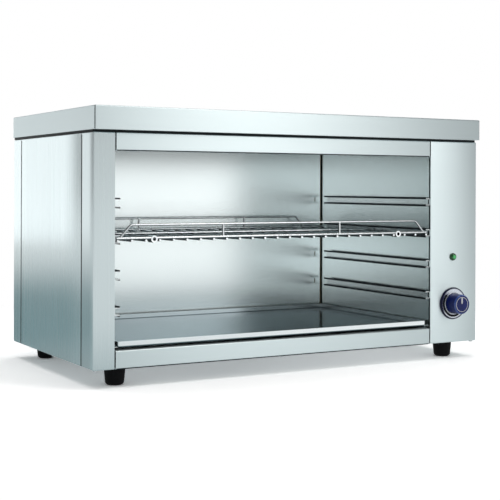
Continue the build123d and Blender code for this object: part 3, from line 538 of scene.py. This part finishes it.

# Painted shade lines down the rounded corners of the cap.
CORNER_SHADE_WIDTH = 1.2 * MM
CORNER_SHADE_RISE = 0.1 * MM
CORNER_SHADE_INSET = 0.6 * MM
CORNER_SHADE_END = 1.0 * MM
DIAGONAL = 0.7071
cap_low, cap_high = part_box("top_cover")
for side, sign in (("left", -1), ("right", 1)):
    for end, y, out_y in (("front", cap_low.y, -1), ("rear", cap_high.y, 1)):
        corner = Vector((sign * cap_high.x, y, 0.0)) - Vector((sign, out_y, 0)) * CORNER_SHADE_INSET
        bead(
            f"cap_corner_shade_{side}_{end}",
            corner + Vector((0, 0, cap_low.z + CORNER_SHADE_END)), corner + Vector((0, 0, cap_high.z - CORNER_SHADE_END)),
            (sign * DIAGONAL, -out_y * DIAGONAL, 0), (sign * DIAGONAL, out_y * DIAGONAL, 0),
            CORNER_SHADE_WIDTH, CORNER_SHADE_RISE, shadow_steel,
        )

# Painted shade lines: under the header's hem, under the bottom rail, and down the fascia's edge at the opening.
HEM_WIDTH = 1.6 * MM
HEM_END = 1.5 * MM
HEM_HEIGHT = 0.5 * MM
FASCIA_LINE_WIDTH = 3.6 * MM
FASCIA_LINE_END = 1.0 * MM
header_low, header_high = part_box("header_panel")
rail_low, rail_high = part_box("bottom_rail")
fascia_low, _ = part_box("control_fascia")
for name, low, high in (("header_hem_shade", header_low, header_high), ("rail_hem_shade", rail_low, rail_high)):
    z = low.z + HEM_HEIGHT
    bead(
        name, (low.x + HEM_END, low.y, z), (high.x - HEM_END, low.y, z),
        (0, 0, 1), (0, -1, 0), HEM_WIDTH, LINE_RISE, shadow_steel,
    )
fascia_y = FRONT_Y + FASCIA_LINE_WIDTH
bead(
    "fascia_edge_shade",
    (fascia_low.x, fascia_y, rail_high.z + FASCIA_LINE_END),
    (fascia_low.x, fascia_y, header_low.z - FASCIA_LINE_END),
    (0, 1, 0), (-1, 0, 0), FASCIA_LINE_WIDTH, LINE_RISE, shadow_steel,
)

# Painted shade along the lips of the runner channels, and a painted shade line across the web near their front
# ends.
RUNNER_LINE_WIDTH = 3.4 * MM
RUNNER_LINE_OFFSET = 0.5 * MM
RUNNER_LINE_END = 0.4 * MM
RUNNER_SHEET = 1.2 * MM
RUNNER_END_SHADE = (3.0 * MM, 1.6 * MM)  # back from the front end, and in from the flanges
for name in nodes:
    if "_runner_" not in name:
        continue
    low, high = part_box(name)
    inward = 1 if name.startswith("left") else -1
    edge = high.x if inward == 1 else low.x
    web = (low.x if inward == 1 else high.x) + inward * RUNNER_SHEET
    line = ((0, 0, 1), (inward, 0, 0), RUNNER_LINE_WIDTH, LINE_RISE, shadow_steel, "runner_steel")
    mark = ((0, 1, 0), *line[1:])
    for part, z in (("top", high.z + RUNNER_LINE_OFFSET), ("bottom", low.z - RUNNER_LINE_OFFSET)):
        start, end = low.y + RUNNER_LINE_END, high.y - RUNNER_LINE_END
        bead(f"{name}_{part}_edge", (edge, start, z), (edge, end, z), *line)
    mark_y = low.y + RUNNER_END_SHADE[0]
    bead(
        f"{name}_end_shade",
        (web, mark_y, low.z + RUNNER_END_SHADE[1]), (web, mark_y, high.z - RUNNER_END_SHADE[1]), *mark,
    )

# Dial: dark outer rim, heat scale in its groove, bright inner bead.
SCALE_START = 135.4
SCALE_SWEEP = 164.2
turned("dial_rim", [
    (28.5, 3.9), (28.5, 4.15), (29.6, 4.15), (30.65, 2.05), (30.65, 0.1), (30.4, 0.1), (30.4, 1.9),
    (29.45, 3.9),
], dial_navy)
turned("dial_scale", [
    (21.6, 2.45), (21.6, 2.85), (21.8, 3.05), (25.7, 3.05), (25.9, 2.85), (25.9, 2.45),
], dial_black, start=SCALE_START, sweep=SCALE_SWEEP, steps=64)
turned("dial_bead", [
    (19.8, 3.15), (19.85, 3.6), (20.1, 3.85), (20.5, 3.95), (20.9, 3.85), (21.15, 3.6), (21.2, 3.15),
], dial_metal)

# Domed lens over the indicator lamp, in millimetres, with a hair of a hole on its axis.
LENS_RADIUS = 6.9
LENS_HOLE = 0.05
LENS_FOOT = 0.9
LENS_SHOULDER = 1.65
LENS_DOME = 4.6
lens_profile = [(LENS_HOLE, LENS_FOOT), (LENS_RADIUS, LENS_FOOT)]
for step in range(9):
    angle = math.radians(10 * step)
    lens_profile.append((LENS_RADIUS * math.cos(angle), LENS_SHOULDER + LENS_DOME * math.sin(angle)))
lens_profile.append((LENS_HOLE, LENS_SHOULDER + LENS_DOME))
lens_dome = turned("indicator_dome", lens_profile, lens_green, centre=lens_centre, steps=48)
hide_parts("indicator_lens")

# Knob: lighter rim and a thin ring on its face, and its pointer, also in millimetres.
turned("knob_rim", [
    (18.52, 27.05), (18.58, 27.15), (16.72, 28.99), (16.5, 28.99), (16.4, 28.8), (18.3, 27.0),
], rim_blue, body="knob")
turned("knob_face_line", [
    (13.3, 28.1), (13.3, 28.3), (13.45, 28.4), (14.05, 28.4), (14.2, 28.3), (14.2, 28.1),
], pointer_white, body="knob")
POINTER_RADIUS = 1.8
POINTER_MIDDLE = 7.0
POINTER_HALF = 4.2
POINTER_STEPS = 24
pointer_sections = []
for reach, inset in ((27.65, 0.1), (28.2, 0.1), (28.38, 0.3)):
    ring = []
    for step in range(POINTER_STEPS):
        angle = 2 * math.pi * (step + 0.5) / POINTER_STEPS
        radius = POINTER_RADIUS - inset
        centre_z = POINTER_MIDDLE + math.copysign(POINTER_HALF, math.sin(angle))
        ring.append((
            knob_centre.x + radius * MM * math.cos(angle),
            FRONT_Y - reach * MM,
            knob_centre.z + (centre_z + radius * math.sin(angle)) * MM,
        ))
    pointer_sections.append(ring)
loft("knob_pointer_paint", pointer_sections, pointer_white, "knob")


# ---- Studio: a level of 1 is white, and azimuths are 0 in front and 90 at the right ----

WORLD_DIFFUSE = 0.32
# Unlit parts of the studio that the metal mirrors: azimuths over which each side fades, elevations over
# which the lower edge does, and level.
DARK_ZONES = (
    ((37.0, 42.0), (62.0, 80.0), (-1.0, 1.0), 0.03),
    ((-58.0, -45.0), (-14.0, -6.0), (2.5, 6.0), 0.05),
    ((-145.0, -135.0), (-75.0, -58.0), (-4.0, 0.0), 0.24),
    ((-12.0, 0.0), (18.0, 24.5), (-1.0, 1.0), 0.40),
)
LAMP_AIM = Vector((0.0, 0.0, 0.25))

world = bpy.data.worlds.new("studio")
scene.world = world
world.use_nodes = True
studio = Graph(world.node_tree)
background = studio.node("ShaderNodeBackground")
background.inputs["Color"].default_value = (1.0, 1.0, 1.0, 1.0)
world_output = studio.node("ShaderNodeOutputWorld")
studio.link(background.outputs["Background"], world_output.inputs["Surface"])
direction = studio.parts(studio.node("ShaderNodeTexCoord").outputs["Generated"])
azimuth = studio.math("ARCTAN2", direction["X"], studio.math("MULTIPLY", direction["Y"], -1.0))
mirrored = 1.0
for left_edge, right_edge, lower_edge, zone_level in DARK_ZONES:
    inside = studio.math(
        "MULTIPLY",
        studio.span(azimuth, 0.0, 1.0, *(math.radians(a) for a in left_edge), kind="SMOOTHSTEP"),
        studio.span(azimuth, 1.0, 0.0, *(math.radians(a) for a in right_edge), kind="SMOOTHSTEP"),
    )
    above = studio.span(direction["Z"], 0.0, 1.0, *(math.sin(math.radians(a)) for a in lower_edge))
    zone = studio.span(studio.math("MULTIPLY", inside, above), 1.0, zone_level, 0.0, 1.0)
    mirrored = studio.math("MULTIPLY", mirrored, zone)
camera_ray = studio.node("ShaderNodeLightPath").outputs["Is Camera Ray"]
shown = studio.shown()
shown_level = studio.math("MULTIPLY", studio.math("MAXIMUM", mirrored, camera_ray), shown)
lit_level = studio.math("MULTIPLY", studio.math("SUBTRACT", 1.0, shown), WORLD_DIFFUSE)
studio.link(studio.math("ADD", shown_level, lit_level), background.inputs["Strength"])


def soft_box(name, azimuth, elevation, distance, size, radiance, colour=(1.0, 1.0, 1.0)):
    """Rectangular lamp that faces the cabinet from there, size (width, height)."""
    turn, rise = math.radians(azimuth), math.radians(elevation)
    away = Vector((math.sin(turn) * math.cos(rise), -math.cos(turn) * math.cos(rise), math.sin(rise)))
    data = bpy.data.lights.new(name, "AREA")
    data.shape = "RECTANGLE"
    data.size, data.size_y = size
    data.energy = radiance * math.pi * size[0] * size[1]
    data.color = colour
    lamp = bpy.data.objects.new(name, data)
    scene.collection.objects.link(lamp)
    lamp.location = LAMP_AIM + away * distance
    lamp.rotation_mode = "QUATERNION"
    lamp.rotation_quaternion = (-away).to_track_quat("-Z", "Y")
    lamp.visible_camera = False
    return lamp


soft_box(
    "key", azimuth=28.8, elevation=39.0, distance=3.4, size=(0.66, 2.7), radiance=2.7, colour=(1.0, 0.95, 0.92),
)
soft_box(
    "front_fill", azimuth=28.0, elevation=9.0, distance=3.4, size=(1.35, 1.7), radiance=0.45,
    colour=(1.0, 0.97, 0.95),
)
soft_box("rear_left", azimuth=198.0, elevation=7.0, distance=3.4, size=(2.6, 1.2), radiance=0.85)
# The lamp overhead only lights the floor and the shadow: the cap's top mirrors the plain studio.
overhead = soft_box("top", azimuth=0.0, elevation=89.0, distance=3.0, size=(3.4, 3.0), radiance=1.7)
overhead.visible_glossy = False


# ---- Floor: a pale surface that takes the shadow, and further out the white backdrop ----

FLOOR_HALF = 14.0
PAINT_TONE = (0.80, 0.84)
# In the camera's view: where it turns white, from the origin, and how its lit colour is raised.
WHITE_FROM, WHITE_TO = 0.64, 1.1
FLOOR_LIFT = 1.88
FLOOR_GLOW = 0.07
# In mirrored rays: its tint, darkened as painted shade near DIM_PLACE, and where it turns white, from there.
MIRRORED_SHADE_TINT = (0.47, 0.655, 0.69)
MIRRORED_FROM, MIRRORED_TO = 0.5, 2.1
DIM_PLACE = (-0.75, 0.95, 0.0)

floor_mesh = bpy.data.meshes.new("floor")
shape = bmesh.new()
bmesh.ops.create_grid(shape, x_segments=1, y_segments=1, size=FLOOR_HALF)
shape.to_mesh(floor_mesh)
shape.free()
floor = bpy.data.objects.new("floor", floor_mesh)
scene.collection.objects.link(floor)

paint = Shader("floor_paint")
paint.set(Roughness=0.9, Specular_IOR_Level=0.0, Emission_Color=(1.0, 1.0, 1.0, 1.0))
albedo = paint.span(paint.noise((40.0, 40.0, 40.0), detail=3.0), *PAINT_TONE)
in_view = paint.node("ShaderNodeLightPath").outputs["Is Camera Ray"]
in_metal = paint.math("SUBTRACT", paint.shown(), in_view)
lift = paint.span(in_view, 1.0, FLOOR_LIFT, 0.0, 1.0)
tone = paint.node("ShaderNodeCombineColor")
for channel, tint in zip(tone.inputs, MIRRORED_SHADE_TINT):
    level = paint.math("MULTIPLY", lift, paint.span(in_metal, 1.0, tint, 0.0, 1.0))
    paint.link(paint.math("MULTIPLY", albedo, level), channel)
paint.colour(tone.outputs["Color"])
paint.link(paint.math("MULTIPLY", in_view, FLOOR_GLOW), paint.bsdf.inputs["Emission Strength"])
view_reach = paint.span(paint.vector("LENGTH", paint.place()), 0.0, 1.0, WHITE_FROM, WHITE_TO)
dim_reach = paint.vector("DISTANCE", paint.place(), DIM_PLACE)
metal_reach = paint.span(dim_reach, 0.0, 1.0, MIRRORED_FROM, MIRRORED_TO)
far = paint.math(
    "ADD", paint.math("MULTIPLY", in_view, view_reach), paint.math("MULTIPLY", in_metal, metal_reach),
)
backdrop = paint.node("ShaderNodeEmission")
floor_mix = paint.node("ShaderNodeMixShader")
paint.link(far, floor_mix.inputs["Fac"])
paint.link(paint.bsdf.outputs["BSDF"], floor_mix.inputs[1])
paint.link(backdrop.outputs["Emission"], floor_mix.inputs[2])
paint.link(floor_mix.outputs["Shader"], paint.output.inputs["Surface"])
floor_mesh.materials.append(paint.material)
